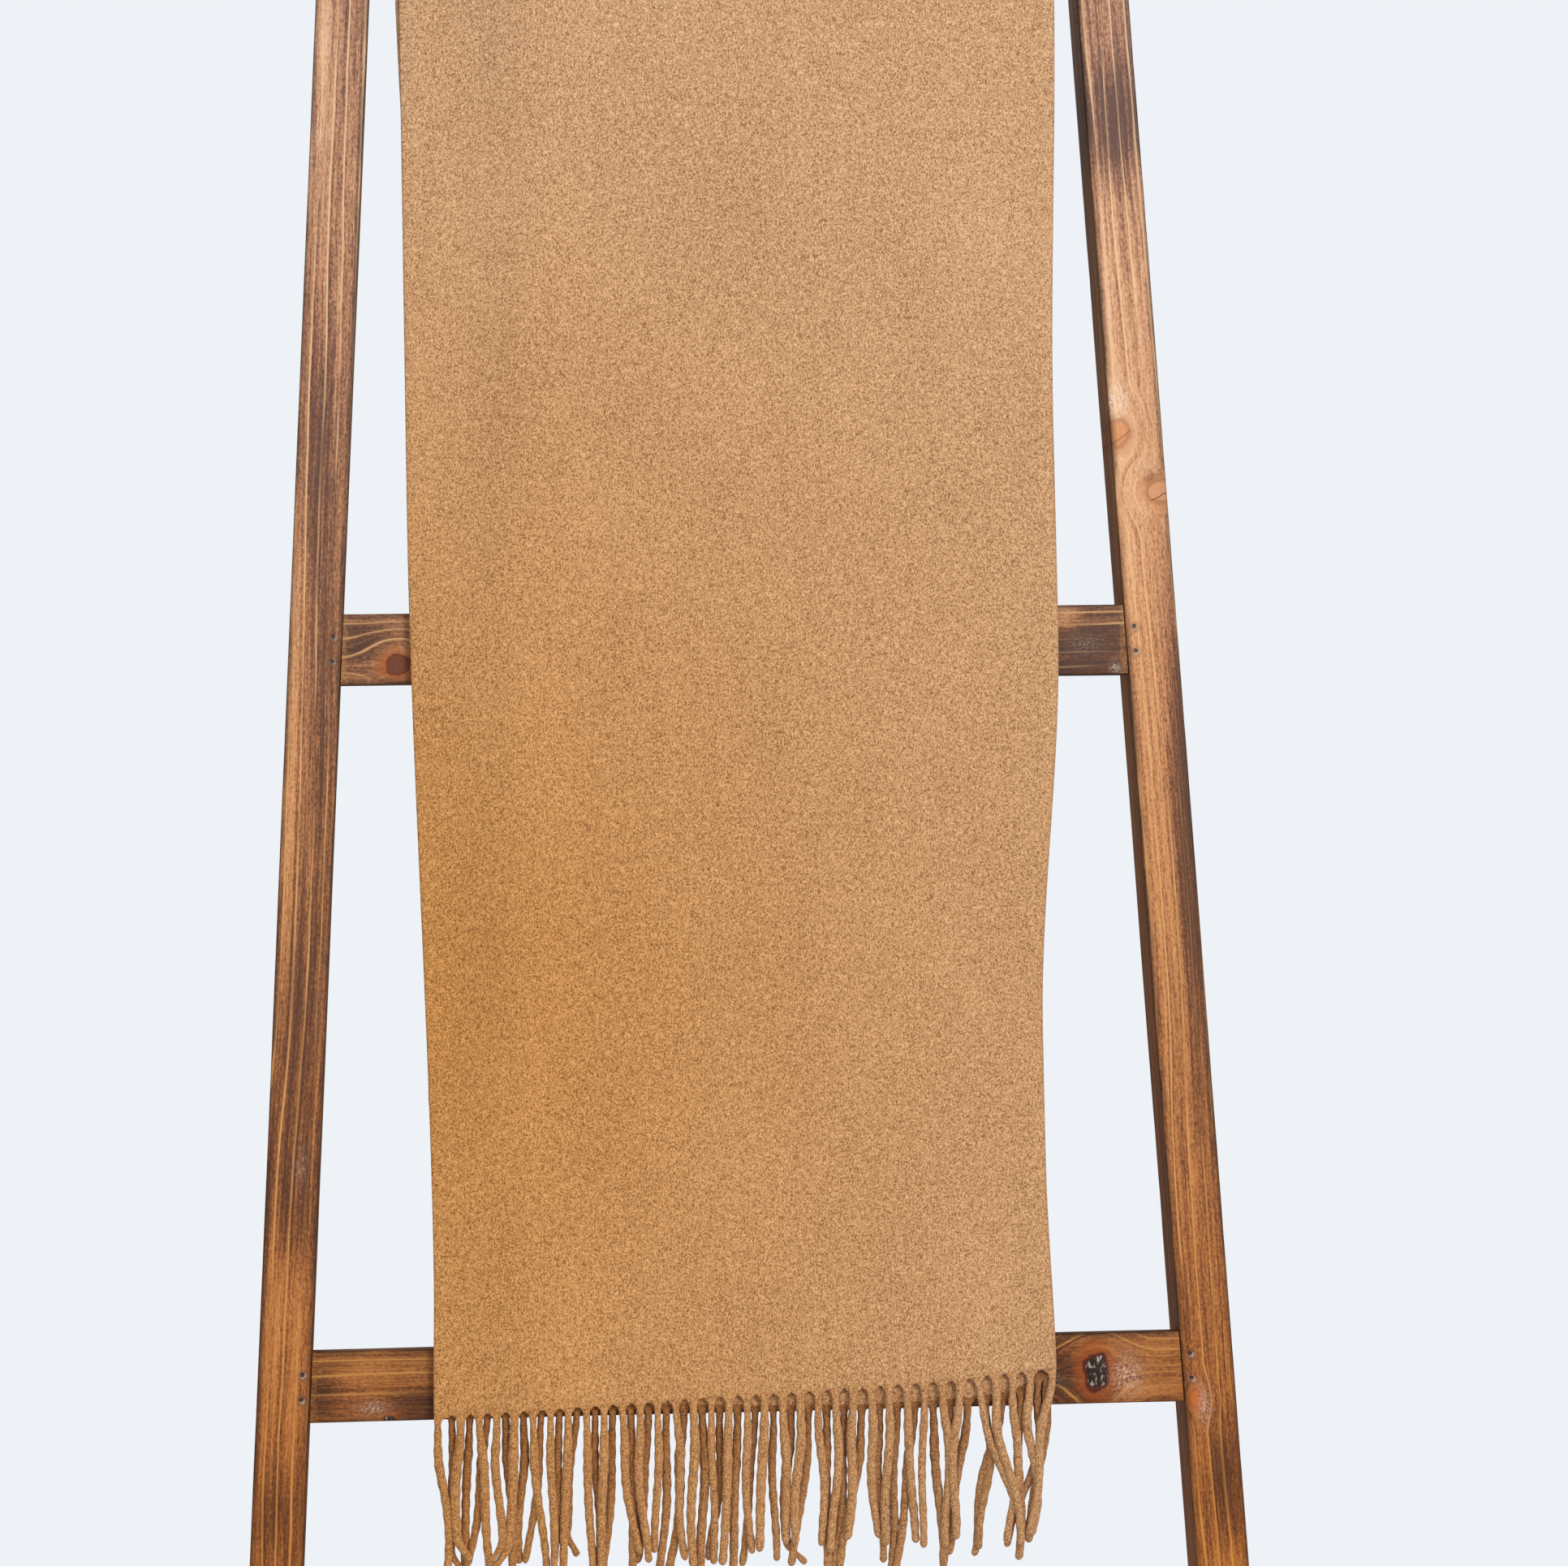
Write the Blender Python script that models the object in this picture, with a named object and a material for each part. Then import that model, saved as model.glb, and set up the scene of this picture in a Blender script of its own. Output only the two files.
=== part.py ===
"""Fringed wool throw over a leaning blanket ladder.

Metres, +Z up, +Y towards the wall that the ladder leans on, +X to the viewer's
right. The origin is on the floor, at the middle of the ladder's footprint.

Ladder pieces are drawn in the ladder's own frame, under one tilted empty: +X
along the rungs, +Y from the front face to the back, +Z up the ladder from the
floor line. The throw hangs from an empty on the line it lifts off along.
"""

import math

import bmesh
import bpy
from mathutils import Matrix, Vector

# Fit between pieces that touch.
GAP = 0.0003

# Ladder.
LEAN = math.radians(10.0)            # how far it leans back on the wall
SPLAY = math.radians(3.23)           # each rail's slope in the ladder's plane
RAIL_WIDTH = 0.030
RAIL_DEPTH = 0.038
RAIL_ARRIS = 0.0012
RUNG_COUNT = 4
RUNG_PITCH = 0.415
BOTTOM_RUNG_HEIGHT = 0.150           # floor line to the middle of the lowest rung
RAIL_ABOVE_TOP_RUNG = 0.123          # from the middle of the top rung
OUTER_WIDTH = 0.507                  # over the rails, REFERENCE_RUNG high
REFERENCE_RUNG = 2
RUNG_HEIGHT = 0.040
RUNG_DEPTH = 0.018
RUNG_RECESS = 0.0008                 # rung fronts sit this far behind the rail fronts
RUNG_ARRIS = 0.0010
WALL_REST_HEIGHT = 0.045             # plumb facet that lies on the wall
CUT_MARGIN = 0.1                     # how far the foot and wall cuts reach past the rails

# Stub tenons at the rung ends.
TENON_LENGTH = 0.016
TENON_HEIGHT = 0.028
TENON_THICKNESS = 0.010

# Brads that pin each tenon from the front, two to a joint.
BRAD_LENGTH = 0.026
BRAD_SHANK = 0.0014
BRAD_HEAD = 0.0018
BRAD_HEAD_THICKNESS = 0.0008
BRAD_POINT = 0.002
BRAD_SUNK = 0.0005                   # head below the rail's face
BRAD_INSET = 0.005                   # from the rail's inner arris
BRAD_SPACING = 0.014
BRAD_SIDES = 10

# Throw, folded once along its length and hung over the top rung.
THROW_LENGTH = 1.600                 # without its fringe
THROW_THICKNESS = 0.007              # both leaves
THROW_SIDE_GAP = 0.007               # each side, as it lifts out between the rail tops
THROW_DRAW_IN = 0.023                # how much narrower it hangs at the hems
HEM_RUNG = 1                         # the rung that the front hem lies on
HEM_BELOW_RUNG_MIDDLE = 0.010
HEM_TILT = 0.0155                    # the hem's rise from left to right
SAG = 0.004                          # the front dips this far between two rungs
SAG_STEPS = 6
BEND_STEPS = 5
FRINGE_LENGTH = 0.095
FRINGE_ON_RUNG = 0.001               # least length that lies on the rung's face

RUNG_NAMES = ["rung_bottom", "rung_lower", "rung_middle", "rung_top"]
RUNG_HEIGHTS = [BOTTOM_RUNG_HEIGHT + i * RUNG_PITCH for i in range(RUNG_COUNT)]
RAIL_HEIGHT = RUNG_HEIGHTS[-1] + RAIL_ABOVE_TOP_RUNG
FRONT_HEM_HEIGHT = RUNG_HEIGHTS[HEM_RUNG] - HEM_BELOW_RUNG_MIDDLE
SIDES = {"left": -1, "right": 1}
# The wall touches the rails' backs WALL_REST_HEIGHT below their tops.
FOOTPRINT = ((RAIL_HEIGHT - WALL_REST_HEIGHT) * math.sin(LEAN)
             + RAIL_DEPTH * math.cos(LEAN))


def clear_scene():
    """Start from an empty file."""
    for obj in list(bpy.data.objects):
        bpy.data.objects.remove(obj, do_unlink=True)


def make_material(name, colour, roughness, metallic=0.0):
    """One Principled finish."""
    material = bpy.data.materials.new(name)
    material.use_nodes = True
    shader = material.node_tree.nodes["Principled BSDF"]
    shader.inputs["Base Color"].default_value = (*colour, 1.0)
    shader.inputs["Roughness"].default_value = roughness
    shader.inputs["Metallic"].default_value = metallic
    return material


def make_object(name, bm, material=None, parent=None):
    """Turn a bmesh into a named object with its normals facing out."""
    bmesh.ops.recalc_face_normals(bm, faces=bm.faces)
    mesh = bpy.data.meshes.new(name)
    bm.to_mesh(mesh)
    bm.free()
    obj = bpy.data.objects.new(name, mesh)
    bpy.context.collection.objects.link(obj)
    obj.parent = parent
    if material:
        mesh.materials.append(material)
    return obj


def make_empty(name, location, tilt=0.0):
    """A frame that pieces are parented to."""
    empty = bpy.data.objects.new(name, None)
    bpy.context.collection.objects.link(empty)
    empty.location = location
    empty.rotation_euler = (tilt, 0.0, 0.0)
    return empty


def make_guide(obj):
    """Keep a cutter or a joined-in shape out of the model."""
    obj.hide_render = True
    obj.display_type = "WIRE"
    return obj


def add_boolean(target, tool, operation="DIFFERENCE"):
    """Cut a tool out of a piece, or join it in."""
    modifier = target.modifiers.new(tool.name, "BOOLEAN")
    modifier.object = tool
    modifier.operation = operation
    modifier.solver = "EXACT"


def add_box(bm, low, high):
    """Add an axis-aligned box and return its vertices."""
    size = [b - a for a, b in zip(low, high)]
    middle = [(a + b) / 2 for a, b in zip(low, high)]
    place = Matrix.Translation(middle) @ Matrix.Diagonal((*size, 1.0))
    return bmesh.ops.create_cube(bm, size=1.0, matrix=place)["verts"]


def ease_edges(bm, direction, width):
    """Round the edges that run along a direction, two facets each."""
    along = [e for e in bm.edges
             if abs((e.verts[1].co - e.verts[0].co).normalized().dot(direction)) > 0.99]
    bmesh.ops.bevel(bm, geom=along, offset=width, segments=2, profile=0.5, affect="EDGES")


def add_turned(bm, profile, centre, sides):
    """Add a body turned about a line along +Y; the profile is (radius, depth) pairs."""
    points = [bm.verts.new(centre + Vector((radius, depth, 0.0))) for radius, depth in profile]
    edges = [bm.edges.new(pair) for pair in zip(points, points[1:])]
    bmesh.ops.spin(bm, geom=points + edges, cent=centre, axis=(0.0, 1.0, 0.0),
                   angle=2 * math.pi, steps=sides)


def weld(bm):
    """Close the seams that turning leaves."""
    bmesh.ops.remove_doubles(bm, verts=bm.verts, dist=0.00001)


def ladder_to_world(y, z):
    """Depth and height in the ladder's frame to world Y and Z."""
    return (y * math.cos(LEAN) + z * math.sin(LEAN) - FOOTPRINT / 2,
            z * math.cos(LEAN) - y * math.sin(LEAN))


def outer_half_width(height):
    """Middle line to a rail's outer face, at a height up the ladder."""
    reference = RUNG_HEIGHTS[REFERENCE_RUNG]
    return OUTER_WIDTH / 2 + (reference - height) * math.tan(SPLAY)


def inner_half_width(height):
    """Middle line to a rail's inner face."""
    return outer_half_width(height) - RAIL_WIDTH / math.cos(SPLAY)


# ---------------------------------------------------------------- ladder

def brad_profile(clearance=0.0):
    """A brad's half outline as (radius, depth), or its hole's with a clearance."""
    shank = BRAD_SHANK / 2 + clearance
    head = BRAD_HEAD / 2 + clearance
    top = BRAD_SUNK if clearance == 0.0 else -RAIL_ARRIS
    under_head = BRAD_SUNK + BRAD_HEAD_THICKNESS + clearance
    tip = BRAD_SUNK + BRAD_LENGTH + clearance
    return [(0.0, top), (head, top), (head, under_head), (shank, under_head),
            (shank, tip - BRAD_POINT), (0.0, tip)]


def brad_places(height, side):
    """Centres of a joint's two brads on the rail's front face."""
    for step in (0.5, -0.5):
        level = height + step * BRAD_SPACING
        x = inner_half_width(level) + BRAD_INSET / math.cos(SPLAY)
        yield Vector((side * x, 0.0, level))


def tenon_span():
    """Depths of a tenon's front and back faces."""
    front = RUNG_RECESS + (RUNG_DEPTH - TENON_THICKNESS) / 2
    return front, front + TENON_THICKNESS


def make_mortises(side_name, ladder):
    """The pockets in one rail that take the rung tenons."""
    side = SIDES[side_name]
    front, back = tenon_span()
    bm = bmesh.new()
    for height in RUNG_HEIGHTS:
        face = inner_half_width(height)
        ends = sorted((side * (face - TENON_LENGTH), side * (face + TENON_LENGTH + GAP)))
        half = TENON_HEIGHT / 2 + GAP
        add_box(bm, (ends[0], front - GAP, height - half), (ends[1], back + GAP, height + half))
    return make_guide(make_object("mortises_" + side_name, bm, parent=ladder))


def make_brad_holes(side_name, ladder):
    """Pilot holes through one rail and its tenons."""
    bm = bmesh.new()
    for height in RUNG_HEIGHTS:
        for centre in brad_places(height, SIDES[side_name]):
            add_turned(bm, brad_profile(GAP), centre, BRAD_SIDES)
    weld(bm)
    return make_guide(make_object("brad_holes_" + side_name, bm, parent=ladder))


def make_rail(side_name, material, ladder, cutters):
    """One rail: a straight square-edged timber, cut level at the foot and plumb
    where it meets the wall."""
    side = SIDES[side_name]
    below = 2 * RAIL_DEPTH * math.tan(LEAN)
    bm = bmesh.new()
    add_box(bm, (-RAIL_WIDTH / 2, 0.0, -below),
            (RAIL_WIDTH / 2, RAIL_DEPTH, RAIL_HEIGHT / math.cos(SPLAY)))
    ease_edges(bm, Vector((0.0, 0.0, 1.0)), RAIL_ARRIS)
    rail = make_object("rail_" + side_name, bm, material, ladder)
    rail.location.x = side * (outer_half_width(0.0) - RAIL_WIDTH / 2 / math.cos(SPLAY))
    rail.rotation_euler.y = -side * SPLAY
    for cutter in cutters:
        add_boolean(rail, cutter)
    return rail


def make_rung(name, height, material, ladder, brad_holes):
    """One rung: a flat board with shoulders cut to the rails' slope and a stub
    tenon at each end."""
    bm = bmesh.new()
    half = RUNG_HEIGHT / 2
    corners = add_box(bm, (-1.0, RUNG_RECESS, -half), (1.0, RUNG_RECESS + RUNG_DEPTH, half))
    for corner in corners:
        corner.co.x *= inner_half_width(height + corner.co.z) - GAP
    ease_edges(bm, Vector((1.0, 0.0, 0.0)), RUNG_ARRIS)
    rung = make_object(name, bm, material, ladder)
    rung.location.z = height

    front, back = tenon_span()
    reach = inner_half_width(height) + TENON_LENGTH
    bm = bmesh.new()
    add_box(bm, (-reach, front, -TENON_HEIGHT / 2), (reach, back, TENON_HEIGHT / 2))
    tenons = make_guide(make_object(name + "_tenons", bm, parent=ladder))
    tenons.location.z = height
    add_boolean(rung, tenons, "UNION")
    for holes in brad_holes:
        add_boolean(rung, holes)
    return rung


def make_brad(name, centre, material, ladder):
    """One headed brad, driven in from the front."""
    bm = bmesh.new()
    add_turned(bm, brad_profile(), Vector((0.0, 0.0, 0.0)), BRAD_SIDES)
    weld(bm)
    brad = make_object(name, bm, material, ladder)
    brad.location = centre
    brad.data.shade_smooth()
    brad.data.set_sharp_from_angle(angle=math.radians(40.0))
    return brad


def make_world_cutter(name, low, high):
    """A block that trims the rails in the world's frame."""
    bm = bmesh.new()
    add_box(bm, low, high)
    return make_guide(make_object(name, bm))


def build_ladder(wood, steel):
    """Both rails, the rungs between them and the brads that pin the joints."""
    ladder = make_empty("ladder_frame", (0.0, -FOOTPRINT / 2, 0.0), -LEAN)
    reach = OUTER_WIDTH
    floor = make_world_cutter("floor_cut", (-reach, -reach, -CUT_MARGIN), (reach, reach, 0.0))
    wall = make_world_cutter("wall_cut", (-reach, FOOTPRINT / 2, RAIL_HEIGHT / 2),
                             (reach, FOOTPRINT / 2 + CUT_MARGIN, RAIL_HEIGHT + CUT_MARGIN))
    holes = {name: make_brad_holes(name, ladder) for name in SIDES}
    for name in SIDES:
        mortises = make_mortises(name, ladder)
        make_rail(name, wood, ladder, [floor, wall, mortises, holes[name]])
    for rung_name, height in zip(RUNG_NAMES, RUNG_HEIGHTS):
        make_rung(rung_name, height, wood, ladder, holes.values())
        for side_name, side in SIDES.items():
            joint = rung_name.replace("rung", "brad") + "_" + side_name
            for place, centre in zip(("upper", "lower"), brad_places(height, side)):
                make_brad(joint + "_" + place, centre, steel, ladder)


# ---------------------------------------------------------------- throw

def before_rungs(height, dip=0.0):
    """World Y and Z of the throw's middle surface in front of the rung faces, or
    behind that by a dip."""
    return Vector(ladder_to_world(RUNG_RECESS - GAP - THROW_THICKNESS / 2 + dip, height))


def bend(depth, start, end):
    """Points of the throw's middle surface round a top arris of the top rung."""
    centre = ladder_to_world(depth, RUNG_HEIGHTS[-1] + RUNG_HEIGHT / 2 - RUNG_ARRIS)
    radius = RUNG_ARRIS + GAP + THROW_THICKNESS / 2
    for i in range(BEND_STEPS + 1):
        angle = start + (end - start) * i / BEND_STEPS
        yield Vector((centre[0] + radius * math.cos(angle), centre[1] + radius * math.sin(angle)))


def front_path():
    """Middle surface of the front drop, from the hem up to the top rung's edge."""
    points = [before_rungs(FRONT_HEM_HEIGHT)]
    for below, above in zip(RUNG_HEIGHTS[HEM_RUNG:], RUNG_HEIGHTS[HEM_RUNG + 1:]):
        low = below + RUNG_HEIGHT / 2 - RUNG_ARRIS
        high = above - RUNG_HEIGHT / 2 + RUNG_ARRIS
        for i in range(SAG_STEPS + 1):
            share = i / SAG_STEPS
            dip = SAG * 4 * share * (1 - share)
            points.append(before_rungs(low + (high - low) * share, dip))
    return points


def saddle_path():
    """Middle surface over the top rung, front edge to back edge."""
    front = RUNG_RECESS + RUNG_ARRIS
    back = RUNG_RECESS + RUNG_DEPTH - RUNG_ARRIS
    up = math.pi / 2 - LEAN
    return list(bend(front, math.pi - LEAN, up)) + list(bend(back, up, 0.0))


def path_length(points):
    """Length of a run of points."""
    return sum((b - a).length for a, b in zip(points, points[1:]))


def sideways(points, i):
    """Unit normal of a path at a point, to the left of its direction."""
    ahead = points[min(i + 1, len(points) - 1)]
    behind = points[max(i - 1, 0)]
    along = (ahead - behind).normalized()
    return Vector((-along.y, along.x))


def make_slab(name, paths, widths, material, parent):
    """A closed slab THROW_THICKNESS thick whose left and right edges follow two
    paths of equal count. Widths give the full width at each point."""
    bm = bmesh.new()
    rings = []
    for i, width in enumerate(widths):
        ring = []
        for side, path in zip(SIDES.values(), paths):
            offset = sideways(path, i) * THROW_THICKNESS / 2 * side
            for point in (path[i] + offset, path[i] - offset):
                co = Vector((side * width / 2, point.x, point.y))
                ring.append(bm.verts.new(co - parent.location))
        rings.append(ring)
    for near, far in zip(rings, rings[1:]):
        for a in range(4):
            b = (a + 1) % 4
            bm.faces.new((near[a], near[b], far[b], far[a]))
    bm.faces.new(rings[0])
    bm.faces.new(rings[-1])
    return make_object(name, bm, material, parent)


def build_throw(wool):
    """The folded throw as one saddle-shaped slab, and the fringe at its two ends."""
    saddle = saddle_path()
    over = front_path() + saddle
    peak = max(point.y for point in saddle)
    frame = make_empty("throw_lift_line", (0.0, (saddle[0].x + saddle[-1].x) / 2, peak))

    back_hem = saddle[-1] - Vector((0.0, THROW_LENGTH - path_length(over)))
    paths = []
    for side in SIDES.values():
        hem = before_rungs(FRONT_HEM_HEIGHT + side * HEM_TILT / 2)
        tail = back_hem + Vector((0.0, side * HEM_TILT / 2))
        paths.append([hem] + over[1:] + [tail])
    top_width = 2 * (inner_half_width(RAIL_HEIGHT) - THROW_SIDE_GAP)
    hem_width = top_width - THROW_DRAW_IN
    longest_drop = peak - min(over[0].y, back_hem.y)
    widths = [top_width - THROW_DRAW_IN * (peak - point.y) / longest_drop for point in over]
    make_slab("throw", paths, widths + [hem_width], wool, frame)

    # The front fringe lies on the rung, then hangs plumb off its lower edge.
    lower_edge = RUNG_HEIGHTS[HEM_RUNG] - RUNG_HEIGHT / 2 + RUNG_ARRIS
    paths = []
    for side in SIDES.values():
        start = FRONT_HEM_HEIGHT + side * HEM_TILT / 2 - GAP
        on_rung = max(start - lower_edge, FRINGE_ON_RUNG)
        turn = before_rungs(start - on_rung)
        end = turn - Vector((0.0, FRINGE_LENGTH - on_rung))
        paths.append([before_rungs(start), turn, end])
    make_slab("fringe_front", paths, [hem_width] * 3, wool, frame)

    # The back fringe hangs straight down from the back hem.
    paths = []
    for side in SIDES.values():
        start = back_hem + Vector((0.0, side * HEM_TILT / 2 - GAP))
        paths.append([start, start - Vector((0.0, FRINGE_LENGTH))])
    make_slab("fringe_back", paths, [hem_width] * 2, wool, frame)


clear_scene()
build_ladder(wood=make_material("stained_pine", (0.30, 0.145, 0.065), 0.55),
             steel=make_material("brad_steel", (0.20, 0.19, 0.18), 0.45, 1.0))
build_throw(wool=make_material("camel_wool", (0.56, 0.34, 0.18), 0.95))
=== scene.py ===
import math
import random
from bisect import bisect_right

import bmesh
import bpy
from mathutils import Matrix, Vector, noise


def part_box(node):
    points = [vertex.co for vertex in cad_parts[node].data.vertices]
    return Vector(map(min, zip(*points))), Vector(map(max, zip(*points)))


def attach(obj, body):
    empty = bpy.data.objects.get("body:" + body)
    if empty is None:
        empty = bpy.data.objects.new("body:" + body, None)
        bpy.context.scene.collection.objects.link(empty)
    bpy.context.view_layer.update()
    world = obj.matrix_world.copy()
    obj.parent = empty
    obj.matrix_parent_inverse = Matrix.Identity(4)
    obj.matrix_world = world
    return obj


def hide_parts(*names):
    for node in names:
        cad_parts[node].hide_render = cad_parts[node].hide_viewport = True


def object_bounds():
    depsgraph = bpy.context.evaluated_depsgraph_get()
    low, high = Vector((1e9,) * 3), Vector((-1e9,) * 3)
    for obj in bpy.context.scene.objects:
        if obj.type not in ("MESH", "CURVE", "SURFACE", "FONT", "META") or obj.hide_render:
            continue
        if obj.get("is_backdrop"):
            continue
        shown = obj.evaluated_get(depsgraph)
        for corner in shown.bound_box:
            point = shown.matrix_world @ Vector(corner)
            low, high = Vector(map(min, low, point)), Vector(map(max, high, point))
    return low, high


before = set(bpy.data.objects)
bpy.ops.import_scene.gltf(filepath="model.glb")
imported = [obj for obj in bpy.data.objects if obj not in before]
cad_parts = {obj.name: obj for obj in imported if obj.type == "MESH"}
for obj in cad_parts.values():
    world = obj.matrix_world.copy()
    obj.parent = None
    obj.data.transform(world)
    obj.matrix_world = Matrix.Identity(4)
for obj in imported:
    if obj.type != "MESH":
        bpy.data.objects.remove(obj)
cad_low, cad_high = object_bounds()

# ---------------------------------------- where the ladder stands
# The ladder stands on the floor and leans back on a wall, which is left out. Its timbers
# are drawn in its own directions: across, inward from the front face, and up its slope.
RUNG_MIDDLE_DEPTH = 0.0098           # the rungs' middle, in from the front face


def middle(node):
    low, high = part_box(node)
    return (low + high) / 2


up = (middle("rung_top") - middle("rung_bottom")).normalized()
inward = Vector((0.0, up.z, -up.y))
front_at_rung = middle("rung_bottom") - inward * RUNG_MIDDLE_DEPTH
foot = front_at_rung - up * (front_at_rung.z / up.z)
ladder = Matrix.Translation(foot) @ Matrix(((1.0, 0.0, 0.0), inward, up)).transposed().to_4x4()


def slope_height(point):
    """How far up the ladder's slope a point lies."""
    return (point - foot).dot(up)


# ---------------------------------------- camera, light and floor
# A long lens a little left of the middle at chest height, looking slightly down. Broad
# soft lamps stand in front, the stronger one high on the right, in a pale studio.
scene = bpy.context.scene
camera = bpy.data.objects.new("camera", bpy.data.cameras.new("camera"))
scene.collection.objects.link(camera)
camera.matrix_world = (Matrix.Translation((-0.1806, -2.7222, 1.2705))
                       @ Matrix.Rotation(math.radians(-4.32), 4, "Z")
                       @ Matrix.Rotation(math.radians(90.0 - 7.97), 4, "X")
                       @ Matrix.Rotation(math.radians(-0.29), 4, "Z"))
camera.data.lens = 111.8
camera.data.sensor_width = 36.0
scene.camera = camera
scene.view_settings.view_transform = "Standard"


def lamp(name, place, aim, width, watts, colour):
    """A square soft lamp, aimed at a point."""
    light = bpy.data.lights.new(name, "AREA")
    light.size = width
    light.energy = watts
    light.color = colour
    obj = bpy.data.objects.new(name, light)
    scene.collection.objects.link(obj)
    obj.location = place
    obj.rotation_euler = (Vector(aim) - Vector(place)).to_track_quat("-Z", "Y").to_euler()


lamp("key_lamp", (1.6, -2.6, 2.8), (0.0, 0.0, 0.9), 1.5, 82.0, (1.0, 0.98, 0.95))
lamp("fill_lamp", (-2.0, -2.6, 1.6), (0.0, 0.0, 0.8), 2.0, 15.0, (0.95, 0.97, 1.0))
lamp("back_lamp", (-1.4, 2.6, 2.4), (0.0, 0.1, 0.8), 1.8, 38.0, (0.98, 0.99, 1.0))


def new_material(name):
    """A material, its node tree and its Principled shader."""
    material = bpy.data.materials.new(name)
    material.use_nodes = True
    return material, material.node_tree, material.node_tree.nodes["Principled BSDF"]


def add(tree, kind, inputs=None, **settings):
    """Add a shader node. Inputs are values, or another node's output."""
    node = tree.nodes.new("ShaderNode" + kind)
    for key, value in settings.items():
        setattr(node, key, value)
    for key, value in (inputs or {}).items():
        if isinstance(value, bpy.types.NodeSocket):
            tree.links.new(value, node.inputs[key])
        else:
            node.inputs[key].default_value = value
    return node


world = bpy.data.worlds.new("studio")
world.use_nodes = True
scene.world = world
tree = world.node_tree
backdrop = tree.nodes["Background"]
backdrop.inputs["Color"].default_value = (0.855, 0.888, 0.930, 1.0)
# The backdrop is bright to look at, and its bounce on the ladder is softer.
bounce = add(tree, "Background", {"Color": (0.90, 0.95, 1.0, 1.0), "Strength": 0.50})
seen = add(tree, "MixShader", {0: add(tree, "LightPath").outputs["Is Camera Ray"],
                               1: bounce.outputs[0], 2: backdrop.outputs[0]})
tree.links.new(seen.outputs[0], tree.nodes["World Output"].inputs[0])

# The floor is a round of pale paper that melts into the backdrop at its rim.
FLOOR_SOLID, FLOOR_REACH = 0.80, 1.42
bm = bmesh.new()
bmesh.ops.create_grid(bm, x_segments=8, y_segments=8, size=FLOOR_REACH)
floor = bpy.data.objects.new("studio_floor", bpy.data.meshes.new("studio_floor"))
bm.to_mesh(floor.data)
bm.free()
scene.collection.objects.link(floor)
paper, tree, shader = new_material("pale_floor")
shader.inputs["Base Color"].default_value = (0.86, 0.88, 0.90, 1.0)
shader.inputs["Roughness"].default_value = 0.8
away = add(tree, "VectorMath", {0: add(tree, "TexCoord").outputs["Object"]}, operation="LENGTH")
melt = add(tree, "MapRange", {"Value": away.outputs["Value"], "From Min": FLOOR_REACH,
                              "From Max": FLOOR_SOLID}, interpolation_type="SMOOTHERSTEP")
rim = add(tree, "MixShader", {0: melt.outputs["Result"], 1: add(tree, "BsdfTransparent").outputs[0],
                              2: shader.outputs[0]})
tree.links.new(rim.outputs[0], tree.nodes["Material Output"].inputs[0])
floor.data.materials.append(paper)
floor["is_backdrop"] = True

# ---------------------------------------- rails
# Two lengths of planed pine, 30 by 38 mm, with a mortise for each rung in their inner
# faces. They are stained by hand and singed in places, and their arrises are sanded soft.
RAIL_WIDTH = 0.030
RAIL_DEPTH = 0.038
SPLAY = math.radians(3.23)           # each rail's slope in the ladder's plane
RAIL_STEP = 0.004                    # between two cross sections
SANDED = 0.0012                      # least radius of an arris
MOST_WORN = 0.0016                   # what wear adds to it
ARRIS_BAND = 0.0036                  # how far the darker band along the arrises reaches: worn grime, and painted shade
ARRIS_STEPS = 3
BELOW_FLOOR = 0.012                  # spare length that the level cut takes off
RING_SPACING = 0.0078                # of the tree's growth rings
SHADE_FULL_BELOW, SHADE_GONE_ABOVE = 0.30, 1.50  # up the slope: where the painted shade of the lower ladder is full, and where it is gone

# Singed (+) and paler (-) places: across from the middle, up the slope, half width,
# half height, strength.
RAIL_TONES = {
    "left": [(-0.011, 1.335, 0.006, 0.050, -0.9), (0.002, 1.33, 0.006, 0.06, 0.25),
             (-0.001, 1.092, 0.012, 0.060, 0.85), (0.003, 0.975, 0.010, 0.075, 0.75),
             (-0.011, 0.935, 0.006, 0.110, -0.9), (0.001, 0.765, 0.013, 0.115, 0.95),
             (0.000, 0.670, 0.012, 0.030, 0.35), (-0.003, 0.600, 0.014, 0.045, -0.75),
             (-0.002, 0.495, 0.015, 0.030, 0.70), (0.000, 0.300, 0.012, 0.090, 0.45)],
    "right": [(0.000, 1.280, 0.016, 0.036, 1.30), (-0.002, 1.360, 0.012, 0.030, 0.10),
              (-0.002, 1.130, 0.018, 0.090, -0.75), (0.0070, 1.073, 0.0060, 0.0035, 1.30),
              (-0.008, 0.990, 0.010, 0.140, -0.75), (0.011, 0.880, 0.008, 0.100, 0.85),
              (0.010, 0.740, 0.009, 0.110, 0.50), (-0.004, 0.655, 0.012, 0.040, -0.35),
              (0.005, 0.500, 0.009, 0.036, 1.10), (0.000, 0.445, 0.014, 0.016, -0.55),
              (-0.004, 0.320, 0.010, 0.090, 0.30)],
}
# Knots: across, up the slope, radius, length over width, how dark.
RAIL_KNOTS = {
    "left": [(0.004, 1.440, 0.0045, 1.5, 0.6), (-0.006, 0.215, 0.0050, 1.5, 0.9)],
    "right": [(-0.0085, 0.548, 0.0036, 1.4, -0.5), (-0.0105, 1.1005, 0.0060, 1.25, -0.25),
              (0.0115, 1.0655, 0.0076, 0.85, -0.02), (0.0040, 0.235, 0.0055, 1.4, 0.8)],
}
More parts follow.
